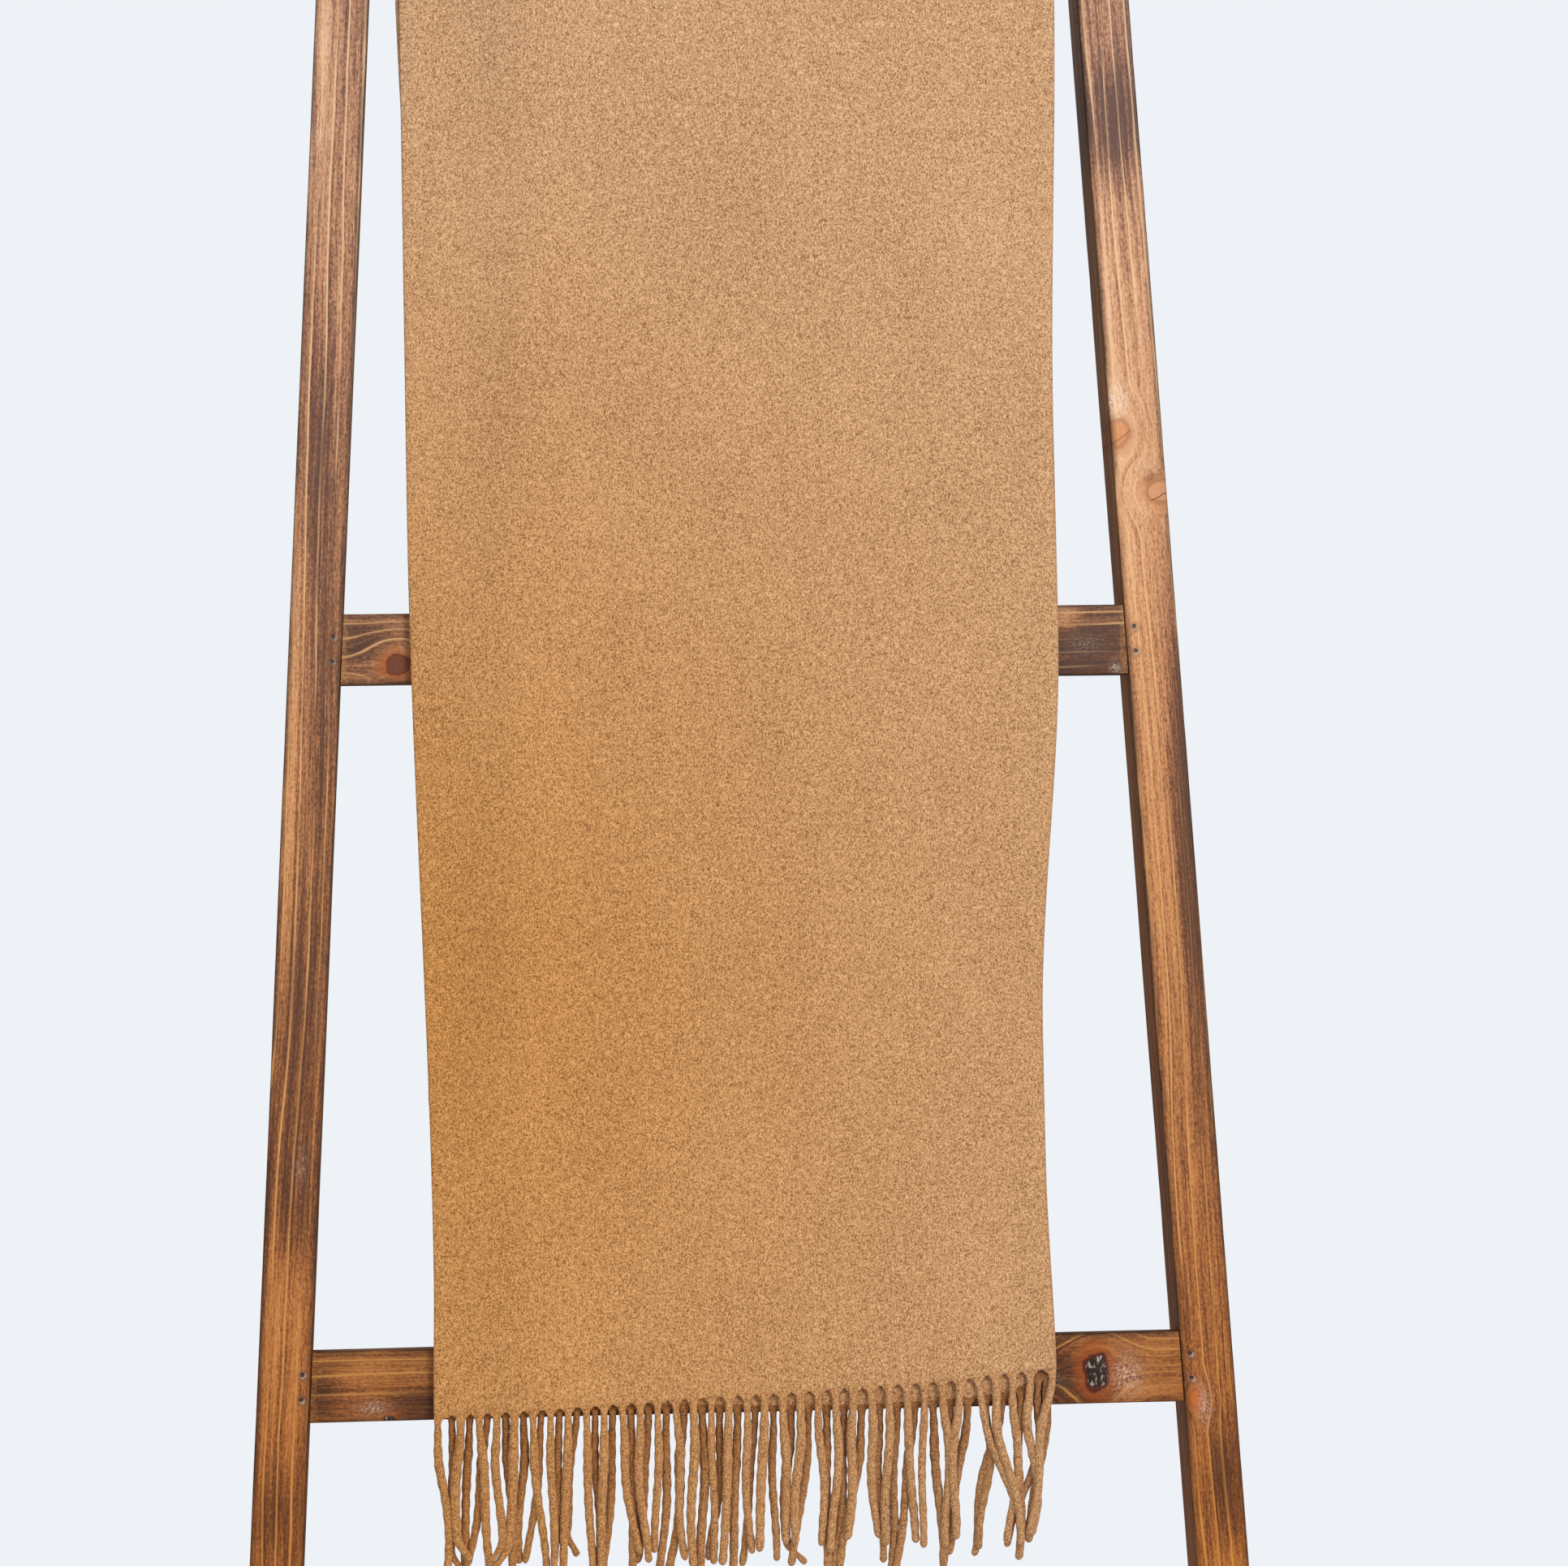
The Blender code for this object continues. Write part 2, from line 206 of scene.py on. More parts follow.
# Where the plane tore the grain: the same five numbers as the singed places.
RAIL_TEARS = {
    "left": [(-0.0105, 1.274, 0.0045, 0.0035, 0.8), (0.0040, 0.690, 0.0030, 0.0100, 0.4)],
    "right": [(-0.0100, 1.1195, 0.0045, 0.0075, 2.4), (-0.0040, 0.5440, 0.0035, 0.0100, 0.9),
              (0.0030, 1.0800, 0.0050, 0.0030, 0.5)],
}


def paint(red, green, blue):
    """A paint chart's 0 to 255 values as a shader colour."""
    def linear(value):
        value /= 255.0
        return value / 12.92 if value <= 0.04045 else ((value + 0.055) / 1.055) ** 2.4
    return (linear(red), linear(green), linear(blue), 1.0)


def sums(tree, operation, *values):
    """One step of arithmetic."""
    return add(tree, "Math", dict(enumerate(values)), operation=operation).outputs[0]


def remap(tree, value, start, end, low=0.0, high=1.0):
    """Ease a value from start..end to low..high."""
    return add(tree, "MapRange", {"Value": value, "From Min": start, "From Max": end,
                                  "To Min": low, "To Max": high},
               interpolation_type="SMOOTHSTEP").outputs["Result"]


def blend_colours(tree, share, first, second, kind="MIX"):
    """Lay the second colour over the first."""
    node = add(tree, "Mix", {0: share, 6: first, 7: second}, data_type="RGBA", blend_type=kind)
    return node.outputs[2]


def grain(tree, place, stretch, detail=2.0, roughness=0.5):
    """Noise at so many cells a metre along each axis."""
    scaled = add(tree, "VectorMath", {0: place, 1: stretch}, operation="MULTIPLY").outputs[0]
    return add(tree, "TexNoise", {"Vector": scaled, "Scale": 1.0, "Detail": detail,
                                  "Roughness": roughness}).outputs["Fac"]


def stained_pine(name, knots, offset, length, strength, pits=()):
    """Pine that was stained, singed and rubbed. The grain runs along the piece's Z and
    bows round each knot. Raw wood shows round each pit. Less strength is a darker stain."""
    material, tree, shader = new_material(name)
    shader.inputs["Coat Weight"].default_value = 0.03
    shader.inputs["Coat Roughness"].default_value = 0.35

    place = add(tree, "TexCoord").outputs["Object"]
    across, depth, along = add(tree, "SeparateXYZ", {0: place}).outputs

    # Each knot pushes the grain aside.
    distances, splits, bowed = [], [], across
    for x, z, radius, stretch, _ in knots:
        off_x = sums(tree, "SUBTRACT", across, x)
        off_z = sums(tree, "DIVIDE", sums(tree, "SUBTRACT", along, z), stretch)
        far = sums(tree, "SQRT", sums(tree, "ADD", sums(tree, "MULTIPLY", off_x, off_x),
                                      sums(tree, "MULTIPLY", off_z, off_z)))
        far = sums(tree, "DIVIDE", far, radius)
        pushed = sums(tree, "MULTIPLY", off_x, remap(tree, far, 0.6, 4.5, -0.85, 0.0))
        bowed = sums(tree, "ADD", bowed, pushed)
        wobble = sums(tree, "MULTIPLY_ADD", grain(tree, place, (130.0,) * 3, 2.0, 0.4), 0.9, 0.55)
        distances.append(sums(tree, "MULTIPLY", far, wobble))
        bent = sums(tree, "MULTIPLY_ADD", wobble, 0.003, sums(tree, "MULTIPLY_ADD", off_x, -0.5, off_z))
        splits.append(sums(tree, "ABSOLUTE", bent))

    # Growth rings cross the board at a slant and wander along it.
    wander = sums(tree, "MULTIPLY_ADD", grain(tree, place, (16.0, 16.0, 1.7)), 0.030, offset)
    ripple = sums(tree, "MULTIPLY", grain(tree, place, (70.0, 70.0, 9.0)), 0.0035)
    ring = sums(tree, "ADD", sums(tree, "MULTIPLY_ADD", depth, 0.55, bowed),
                sums(tree, "ADD", wander, ripple))
    ring_place = add(tree, "CombineXYZ", {0: ring, 1: 0.0, 2: sums(tree, "MULTIPLY", along, 0.012)})
    streaks = grain(tree, ring_place.outputs[0], (330.0, 1.0, 330.0), 4.0, 0.68)
    year = sums(tree, "FRACT", sums(tree, "DIVIDE", ring, RING_SPACING))
    late = sums(tree, "MULTIPLY", remap(tree, year, 0.80, 0.92),
                remap(tree, year, 0.95, 1.0, 1.0, 0.0))
    broken = remap(tree, grain(tree, place, (60.0, 60.0, 7.0)), 0.38, 0.54)
    late = sums(tree, "MULTIPLY", late, broken)
    fibre = grain(tree, place, (1150.0, 1150.0, 75.0), 3.0, 0.7)
    speck = grain(tree, place, (800.0, 800.0, 420.0), 3.0, 0.65)

    # Stain: dark in the open grain, tan where it was rubbed back.
    tone = sums(tree, "MULTIPLY_ADD", sums(tree, "SUBTRACT", streaks, 0.5), 1.15, 0.5)
    tone = sums(tree, "MULTIPLY_ADD", sums(tree, "SUBTRACT", fibre, 0.5), 0.75, tone)
    tone = sums(tree, "MULTIPLY_ADD", sums(tree, "SUBTRACT", speck, 0.5), 0.90, tone)
    clouds = grain(tree, place, (30.0, 30.0, 4.5), 3.0, 0.55)
    tone = sums(tree, "MULTIPLY_ADD", sums(tree, "SUBTRACT", clouds, 0.5), 0.65, tone)
    painted = add(tree, "Attribute", attribute_name="tone").outputs["Fac"]
    tone = sums(tree, "MULTIPLY_ADD", painted, -0.25, tone)
    ramp = add(tree, "ValToRGB", {"Fac": tone})
    stops = ramp.color_ramp.elements
    stops[0].position, stops[0].color = 0.14, paint(92, 64, 56)
    stops[1].position, stops[1].color = 0.88, paint(232, 190, 156)
    for position, colour in ((0.34, paint(138, 96, 76)), (0.50, paint(182, 132, 102)),
                             (0.66, paint(212, 162, 126))):
        stops.new(position).color = colour
    colour = ramp.outputs["Color"]

    # Singed places go purple-brown, streaked by the grain.
    singed = sums(tree, "ADD", painted, remap(tree, clouds, 0.54, 0.72, 0.0, 0.55))
    singed = sums(tree, "MULTIPLY", singed, remap(tree, streaks, 0.62, 0.38, 0.35, 1.0))
    singed = add(tree, "Clamp", {0: singed}).outputs[0]
    colour = blend_colours(tree, sums(tree, "MULTIPLY", singed, 0.80), colour, paint(98, 72, 66))
    pale = sums(tree, "MULTIPLY", late, remap(tree, singed, 0.2, 1.0, 0.80, 0.30))
    colour = blend_colours(tree, pale, colour, paint(247, 206, 162))

    # Knots: a halo where stain gathered, a ring, and a core. A pale one is tight and has a
    # drying crack, and a dark one has pale glints painted in its eye, a painted highlight on its resin.
    bulge = painted_glints = 0.0
    for (_, _, _, _, darkness), far, split in zip(knots, distances, splits):
        halo = remap(tree, far, 2.0, 1.1)
        glow = paint(186, 104, 52) if darkness > 0.0 else paint(204, 146, 106)
        colour = blend_colours(tree, sums(tree, "MULTIPLY", halo, 0.65), colour, glow)
        core = remap(tree, far, 1.08, 0.92)
        if darkness < 0.0:
            warm = blend_colours(tree, min(1.0, -2.0 * darkness), paint(226, 174, 140),
                                 paint(232, 140, 56))
            mottle = remap(tree, speck, 0.30, 0.70, 0.0, 0.55)
            body = blend_colours(tree, mottle, warm, paint(188, 122, 90))
            soft_core = remap(tree, far, 1.20, 0.70)
            colour = blend_colours(tree, sums(tree, "MULTIPLY", soft_core, 0.7), colour, body)
            bark = sums(tree, "MULTIPLY", remap(tree, far, 0.75, 1.0), remap(tree, far, 1.30, 1.0))
            colour = blend_colours(tree, sums(tree, "MULTIPLY", bark, 0.40), colour,
                                   paint(140, 84, 56))
            crack = remap(tree, split, 0.0007, 0.0002, 0.0, 0.8 + 1.6 * darkness)
            colour = blend_colours(tree, sums(tree, "MULTIPLY", crack, core), colour,
                                   paint(92, 58, 42))
        else:
            body = blend_colours(tree, darkness, paint(132, 82, 66), paint(54, 40, 42))
            rim = blend_colours(tree, 0.35 + 0.5 * darkness, paint(150, 84, 50), paint(92, 40, 26))
            colour = blend_colours(tree, core, colour, rim)
            eye = remap(tree, far, 0.86, 0.70)
            colour = blend_colours(tree, eye, colour, body)
            resin = grain(tree, place, (260.0, 210.0, 520.0), 3.0, 0.6)
            painted_glint = remap(tree, resin, 0.50, 0.68, 0.0, 0.55 * darkness)
            painted_glints = sums(tree, "MAXIMUM", painted_glints, sums(tree, "MULTIPLY", painted_glint, eye))
        rings = sums(tree, "SINE", sums(tree, "MULTIPLY", far, 16.0))
        bulge = sums(tree, "MULTIPLY_ADD", sums(tree, "MULTIPLY", rings, core), 0.12, bulge)

    # Dark arrises, partly worn grime and partly painted shade strong enough to stand for the shadow at
    # each rung joint, and the square ends where the saw left them lighter.
    arris = add(tree, "Attribute", attribute_name="arris").outputs["Fac"]
    patchy = remap(tree, grain(tree, place, (90.0, 90.0, 22.0)), 0.30, 0.55, 0.3, 1.0)
    rubbed_and_shaded = sums(tree, "MULTIPLY", arris, patchy)
    colour = blend_colours(tree, sums(tree, "MULTIPLY", rubbed_and_shaded, 0.85), colour, paint(66, 48, 42))
    end = remap(tree, sums(tree, "ABSOLUTE", along), length - 0.0036, length - 0.0024)
    end = sums(tree, "MULTIPLY", end, remap(tree, speck, 0.38, 0.60, 0.10, 0.50))
    colour = blend_colours(tree, end, colour, paint(196, 150, 104))

    # Painted light: the wood is painted paler at the ladder's top, as if more strongly lit, and deeper
    # and more orange lower down. The side faces are painted darker and duller, partly as painted shade
    # and partly as a deeper stain.
    painted_height_shade = add(tree, "Attribute", attribute_name="painted_height_shade").outputs["Fac"]
    height_light_tint = add(tree, "ValToRGB", {"Fac": painted_height_shade})
    layers = height_light_tint.color_ramp.elements
    layers[0].position, layers[0].color = 0.0, (1.0, 1.0, 1.0, 1.0)
    layers[1].position, layers[1].color = 1.0, (0.70, 0.41, 0.10, 1.0)
    layers.new(0.5).color = (0.91, 0.73, 0.48, 1.0)
    colour = blend_colours(tree, 1.0, colour, height_light_tint.outputs["Color"], "MULTIPLY")
    colour = blend_colours(tree, 1.0, colour, (strength, strength, strength, 1.0), "MULTIPLY")
    side = add(tree, "Attribute", attribute_name="side").outputs["Fac"]
    tree.links.new(sums(tree, "MULTIPLY_ADD", side, -0.18, 0.20), shader.inputs["Specular IOR Level"])
    # Painted shade on the side faces: they are painted darker because the lamps reach them less, and
    # their stain is deeper too.
    dull = blend_colours(tree, 1.0, colour, (0.42, 0.37, 0.27, 1.0), "MULTIPLY")
    colour = blend_colours(tree, side, colour, dull)

    # Chips of raw wood where the plane tore, and round the brads.
    raw = add(tree, "Attribute", attribute_name="raw").outputs["Fac"]
    slant = add(tree, "VectorRotate", {"Vector": place, "Angle": math.radians(38.0)},
                rotation_type="Y_AXIS")
    scratch = grain(tree, slant.outputs[0], (2100.0, 500.0, 420.0), 2.0, 0.7)
    raw = sums(tree, "MULTIPLY", raw, remap(tree, scratch, 0.50, 0.60))
    flat = add(tree, "VectorMath", {0: place, 1: (1.0, 0.0, 1.0)}, operation="MULTIPLY").outputs[0]
    near = 1.0
    for x, z in pits:
        far = add(tree, "VectorMath", {0: flat, 1: (x + 0.0005, 0.0, z - 0.0006)},
                  operation="DISTANCE").outputs["Value"]
        near = sums(tree, "MINIMUM", near, far)
    if pits:
        ragged = sums(tree, "MULTIPLY_ADD", sums(tree, "SUBTRACT", scratch, 0.5), 0.0040, near)
        raw = sums(tree, "MAXIMUM", raw, remap(tree, ragged, 0.0019, 0.0013, 0.0, 0.40))
        grime = remap(tree, near, 0.0048, 0.0020, 0.0, 0.35)
        colour = blend_colours(tree, grime, colour, paint(96, 64, 48))
    # The painted highlight on the knots' resin takes the raw wood's pale colour here.
    raw = sums(tree, "MAXIMUM", sums(tree, "MULTIPLY", raw, 0.8), painted_glints)
    colour = blend_colours(tree, raw, colour, paint(238, 218, 204))
    # Painted shade: deeper than half a millimetre inside each brad pit, the wood is painted near black.
    hole = sums(tree, "MULTIPLY", remap(tree, depth, 0.00005, 0.0005),
                remap(tree, near, 0.0018, 0.0015))
    colour = blend_colours(tree, sums(tree, "MULTIPLY", hole, 0.9), colour, paint(46, 34, 28))
    tree.links.new(colour, shader.inputs["Base Color"])

    rough = sums(tree, "MULTIPLY_ADD", streaks, 0.25, 0.40)
    tree.links.new(rough, shader.inputs["Roughness"])
    relief = sums(tree, "MULTIPLY_ADD", fibre, 0.45, sums(tree, "MULTIPLY_ADD", late, 0.5, bulge))
    relief = sums(tree, "MULTIPLY_ADD", speck, 0.2, relief)
    bump = add(tree, "Bump", {"Height": relief, "Strength": 0.55, "Distance": 0.0005})
    tree.links.new(bump.outputs["Normal"], shader.inputs["Normal"])
    return material


def outline(width, depth, z, seed, runs):
    """A board's cross section at one place: points and their outward directions, with
    the four corners rounded as far as they were sanded there."""
    points = []
    for corner, (sx, sy) in enumerate(((-1, 0), (1, 0), (1, 1), (-1, 1))):
        wear = (noise.noise((corner * 7.3 + seed, seed, z * 26.0))
                + 0.4 * noise.noise((corner, seed, z * 110.0)))
        radius = SANDED + MOST_WORN * max(0.0, wear) ** 1.5
        centre = Vector((sx * (width / 2 - radius), depth - radius if sy else radius))
        start = math.pi * (1.0 + corner / 2)
        for i in range(ARRIS_STEPS + 1):
            angle = start + math.pi / 2 * i / ARRIS_STEPS
            out = Vector((math.cos(angle), math.sin(angle)))
            points.append((centre + out * radius, out))
    filled = []
    for corner in range(4):
        first = (ARRIS_STEPS + 1) * corner
        filled += points[first:first + ARRIS_STEPS + 1]
        a, out = points[first + ARRIS_STEPS]
        b = points[(first + ARRIS_STEPS + 1) % len(points)][0]
        count = runs[corner % 2]
        filled += [(a.lerp(b, i / count), out) for i in range(1, count)]
    return filled


def tube(bm, loops):
    """Faces between loops of points."""
    for near, far in zip(loops, loops[1:]):
        for k in range(len(near)):
            j = (k + 1) % len(near)
            bm.faces.new((near[k], near[j], far[j], far[k]))


def skin(bm, loops):
    """A tube that is closed at both ends."""
    tube(bm, loops)
    bm.faces.new(list(reversed(loops[0])))
    bm.faces.new(loops[-1])


def board(width, depth, stations, seed, runs):
    """A planed board along Z, its front face at depth 0. The grain stands up a little."""
    bm = bmesh.new()
    rings = []
    for z in stations:
        ring = []
        for flat, out in outline(width, depth, z, seed, runs):
            x, y = flat
            swell = (0.00022 * noise.noise((x * 45.0 + seed, y * 45.0, z * 5.0))
                     + 0.00010 * noise.noise((x * 260.0 + seed, y * 260.0, z * 14.0)) - 0.00012)
            ring.append(bm.verts.new((x + out.x * swell, y + out.y * swell, z)))
        rings.append(ring)
    skin(bm, rings)
    return bm, rings


def piece(name, bm, place=Matrix()):
    """Turn a drawn mesh into an object."""
    bmesh.ops.recalc_face_normals(bm, faces=bm.faces)
    obj = bpy.data.objects.new(name, bpy.data.meshes.new(name))
    bm.to_mesh(obj.data)
    bm.free()
    scene.collection.objects.link(obj)
    obj.matrix_world = place
    return obj


def settle(obj, sharp):
    """Fix an object's modifiers into its mesh, smooth but for edges past an angle."""
    bpy.context.view_layer.update()
    solved = obj.evaluated_get(bpy.context.evaluated_depsgraph_get())
    obj.data = bpy.data.meshes.new_from_object(solved)
    obj.modifiers.clear()
    obj.data.shade_smooth()
    obj.data.set_sharp_from_angle(angle=math.radians(sharp))


def gather(spots, x, z):
    """The sum of soft round spots at a place."""
    return sum(strength * math.exp(-((x - cx) / wide) ** 2 - ((z - cz) / tall) ** 2)
               for cx, cz, wide, tall, strength in spots)


def ease(value, start, end):
    """0 at start, 1 at end, and smooth between."""
    share = max(0.0, min(1.0, (value - start) / (end - start)))
    return share * share * (3.0 - 2.0 * share)


def finish_board(obj, tool, width, depth, tones, torn, material):
    """Cut a board with a drawn tool shape, and mark where it is worn, singed or torn, and where painted
    light and shade fall on it.
    """
    cut = obj.modifiers.new("cut", "BOOLEAN")
    cut.operation = "DIFFERENCE"
    cut.solver = "EXACT"
    cut.object = tool
    obj.data.materials.append(material)
    settle(obj, 50.0)
    bpy.data.objects.remove(tool)
    keys = ("arris", "tone", "raw", "painted_height_shade", "side")
    for key in keys:
        obj.data.attributes.new(key, "FLOAT", "POINT")
    marks = {key: obj.data.attributes[key].data for key in keys}
    for i, vert in enumerate(obj.data.vertices):
        x, y, z = vert.co
        to_side, to_face = width / 2 - abs(x), min(y, depth - y)
        marks["arris"][i].value = max(0.0, 1.0 - max(to_side, to_face) / ARRIS_BAND)
        side = ease(to_face - to_side, -0.0006, 0.0012)
        marks["side"][i].value = side
        marks["tone"][i].value = gather(tones, x, z)
        marks["raw"][i].value = gather(torn, x, z) * (1.0 - side)
        height = slope_height(obj.matrix_world @ vert.co)
        # Painted light by height: 1 low on the ladder, where the wood is painted deeper and more
        # orange, down to 0 at the top.
        marks["painted_height_shade"][i].value = 1.0 - ease(height, SHADE_FULL_BELOW, SHADE_GONE_ABOVE)
    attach(obj, "ladder")


BRAD_BORE = 0.00076                  # radius of the hole for a brad's shank
PIT_SIDES = 11
# The hole from the pit down: depth, radius, how torn.
BRAD_PIT = ((-0.0010, 0.0021, 0.30), (0.0004, 0.00125, 0.20), (0.0006, 0.00105, 0.0),
            (0.0021, 0.00100, 0.0), (0.0022, BRAD_BORE, 0.0), (0.0275, BRAD_BORE, 0.0))


def brad_hole(bm, at, seed):
    """The hole of one brad into a face at depth 0, with the torn pit over its head."""
    rng = random.Random(seed)
    loops = []
    for depth, radius, torn in BRAD_PIT:
        loop = []
        for k in range(PIT_SIDES):
            angle = 2 * math.pi * k / PIT_SIDES
            far = radius * (1.0 + torn * rng.uniform(-1.0, 1.0))
            loop.append(bm.verts.new((at.x + far * math.cos(angle), depth,
                                      at.z + far * math.sin(angle))))
        loops.append(loop)
    skin(bm, loops)


def trim(bm, place, point, away):
    """Saw a board off at a plane in the room, and close the cut."""
    back = place.inverted()
    cut = bmesh.ops.bisect_plane(bm, geom=bm.verts[:] + bm.edges[:] + bm.faces[:],
                                 plane_co=back @ point, plane_no=back.to_3x3() @ away,
                                 clear_outer=True)
    edges = [e for e in cut["geom_cut"] if isinstance(e, bmesh.types.BMEdge)]
    bmesh.ops.triangle_fill(bm, use_beauty=True, edges=edges)


# Each rung's stub tenon, in its mortise.
RUNG_HEIGHT = 0.040
FIT = 0.0003
TENON_LENGTH = 0.016
TENON_HEIGHT = 0.028
TENON_THICKNESS = 0.010
brads = [middle(name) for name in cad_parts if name.startswith("brad_")]
for name, side in (("left", -1), ("right", 1)):
    low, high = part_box("rail_" + name)
    outer_foot = high.x if side > 0 else -low.x
    length = (high.z / up.z - RAIL_WIDTH / 2 * math.sin(SPLAY)) / math.cos(SPLAY)
    middle_foot = outer_foot - RAIL_WIDTH / 2 / math.cos(SPLAY)
    place = (ladder @ Matrix.Translation((side * middle_foot, 0.0, 0.0))
             @ Matrix.Rotation(-side * SPLAY, 4, "Y"))
    count = round((length + BELOW_FLOOR) / RAIL_STEP)
    stations = [-BELOW_FLOOR + (length + BELOW_FLOOR) * i / count for i in range(count + 1)]
    bm, _ = board(RAIL_WIDTH, RAIL_DEPTH, stations, 3.7 * side, (10, 8))
    trim(bm, place, Vector((0.0, 0.0, 0.0)), Vector((0.0, 0.0, -1.0)))
    trim(bm, place, Vector((0.0, cad_high.y, 0.0)), Vector((0.0, 1.0, 0.0)))
    rail = piece(name + "_rail", bm, place)

    tool = bmesh.new()
    pins = [place.inverted() @ brad for brad in brads if brad.x * side > 0]
    for seed, pin in enumerate(pins):
        brad_hole(tool, pin, seed)
    for rung in ("bottom", "lower", "middle", "top"):
        tenon = Vector((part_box("rung_" + rung)[1].x - TENON_LENGTH / 2 - 0.001,
                        RUNG_MIDDLE_DEPTH, slope_height(middle("rung_" + rung))))
        loops = []
        for reach in (-0.5, 0.5):
            loops.append([tool.verts.new(place.inverted() @ ladder @ Vector(
                (side * (tenon.x + reach * (TENON_LENGTH + 0.003)),
                 tenon.y + (TENON_THICKNESS / 2 + FIT) * y, tenon.z + (TENON_HEIGHT / 2 + FIT) * z)))
                for y, z in ((-1, -1), (1, -1), (1, 1), (-1, 1))])
        skin(tool, loops)
    pine = stained_pine(name + "_rail_pine", RAIL_KNOTS[name], 0.11 * side, length, 1.0,
                        [(pin.x, pin.z) for pin in pins])
    finish_board(rail, piece("tool", tool, place), RAIL_WIDTH, RAIL_DEPTH, RAIL_TONES[name],
                 RAIL_TEARS[name], pine)
    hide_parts("rail_" + name)

# ---------------------------------------- rungs
# Four flat pine boards, 40 by 18 mm, stained like the rails. Their shoulders are cut to
# the rails' slope, and a stub tenon at each end goes into the rail's mortise.
RUNG_DEPTH = 0.018
RUNG_STEP = 0.003
RUNG_STAIN = 0.80                    # the rungs took more stain than the rails

# The same lists as for the rails: down from the middle, then along from the middle.
RUNG_TONES = {
    "bottom": [(0.000, 0.100, 0.016, 0.100, 0.7), (0.000, -0.190, 0.016, 0.060, -0.5)],
    "lower": [(0.004, -0.243, 0.016, 0.012, 0.9), (0.014, -0.182, 0.010, 0.020, 1.0),
              (-0.004, -0.215, 0.014, 0.016, -0.4), (0.002, 0.176, 0.020, 0.012, 1.0),
              (0.010, 0.222, 0.012, 0.020, -0.5), (-0.010, 0.234, 0.008, 0.016, -0.3)],
    "middle": [(-0.006, -0.213, 0.016, 0.016, 0.9), (0.006, -0.192, 0.012, 0.014, -0.3),
               (0.004, 0.200, 0.022, 0.030, 1.50), (-0.014, 0.187, 0.008, 0.010, -1.5)],
    "top": [(0.000, 0.000, 0.016, 0.200, 0.4)],
}
RUNG_KNOTS = {
    "bottom": [(0.006, -0.120, 0.0070, 1.3, 0.9), (-0.008, 0.205, 0.0040, 1.3, 0.3)],
    "lower": [(0.0018, 0.198, 0.0118, 0.68, 1.0), (0.0190, -0.203, 0.0022, 1.6, 1.0)],
    "middle": [(0.0092, -0.1915, 0.0062, 1.25, 0.05)],
    "top": [(-0.004, 0.150, 0.0060, 1.4, 0.8)],
}
RUNG_TEARS = {
    "bottom": [],
    "lower": [(0.0040, 0.2150, 0.0110, 0.0080, 0.9), (0.0120, -0.2120, 0.0035, 0.0080, 0.7),
              (0.0060, 0.1720, 0.0040, 0.0060, 0.4)],
    "middle": [(0.0165, 0.2170, 0.0030, 0.0022, 1.2), (0.0020, 0.2000, 0.0050, 0.0100, 0.3)],
    "top": [],
}

rungs = {}
for seed, name in enumerate(RUNG_TONES):
    node = "rung_" + name
    centre = middle(node)
    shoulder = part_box(node)[1].x - TENON_LENGTH - FIT
    place = (Matrix.Translation(centre - inward * RUNG_DEPTH / 2)
             @ Matrix((-up, inward, (1.0, 0.0, 0.0))).transposed().to_4x4())
    count = round(2 * shoulder / RUNG_STEP)
    stations = [shoulder * (2 * i / count - 1) for i in range(count + 1)]
    bm, rings = board(RUNG_HEIGHT, RUNG_DEPTH, stations, 11.0 + seed, (14, 5))
    for vert in bm.verts:
        vert.co.z *= 1.0 + vert.co.x * math.tan(SPLAY) / shoulder
    # The end faces step in to the tenons.
    for ring, end in ((rings[0], -1), (rings[-1], 1)):
        cap = next(f for f in ring[0].link_faces if len(f.verts) == len(ring))
        bmesh.ops.delete(bm, geom=[cap], context="FACES_ONLY")
        loops = [ring]
        for reach in (0.0, TENON_LENGTH):
            loop = []
            for vert in ring:
                x = max(-TENON_HEIGHT / 2, min(TENON_HEIGHT / 2, vert.co.x))
                y = max((RUNG_DEPTH - TENON_THICKNESS) / 2,
                        min((RUNG_DEPTH + TENON_THICKNESS) / 2, vert.co.y))
                z = shoulder * (1.0 + x * math.tan(SPLAY) / shoulder) + reach
                loop.append(bm.verts.new((x, y, end * z)))
            loops.append(loop)
        tube(bm, loops)
        bm.faces.new(loops[-1])
    bmesh.ops.remove_doubles(bm, verts=bm.verts, dist=0.00002)
    bmesh.ops.dissolve_degenerate(bm, edges=bm.edges, dist=0.00002)
    rungs[name] = piece(name + "_rung", bm, place)
    tool = bmesh.new()
    for brad in brads:
        pin = place.inverted() @ brad
        if abs(pin.x) < RUNG_HEIGHT / 2:
            loops = [[tool.verts.new((pin.x + BRAD_BORE * math.cos(k * math.pi / 4), y,
                                      pin.z + BRAD_BORE * math.sin(k * math.pi / 4)))
                      for k in range(8)] for y in (-0.002, RUNG_DEPTH + 0.002)]
            skin(tool, loops)
    pine = stained_pine(name + "_rung_pine", RUNG_KNOTS[name], 0.031 * (seed + 1), shoulder,
                        RUNG_STAIN)
    finish_board(rungs[name], piece("tool", tool, place), RUNG_HEIGHT, RUNG_DEPTH, RUNG_TONES[name],
                 RUNG_TEARS[name], pine)
    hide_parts(node)

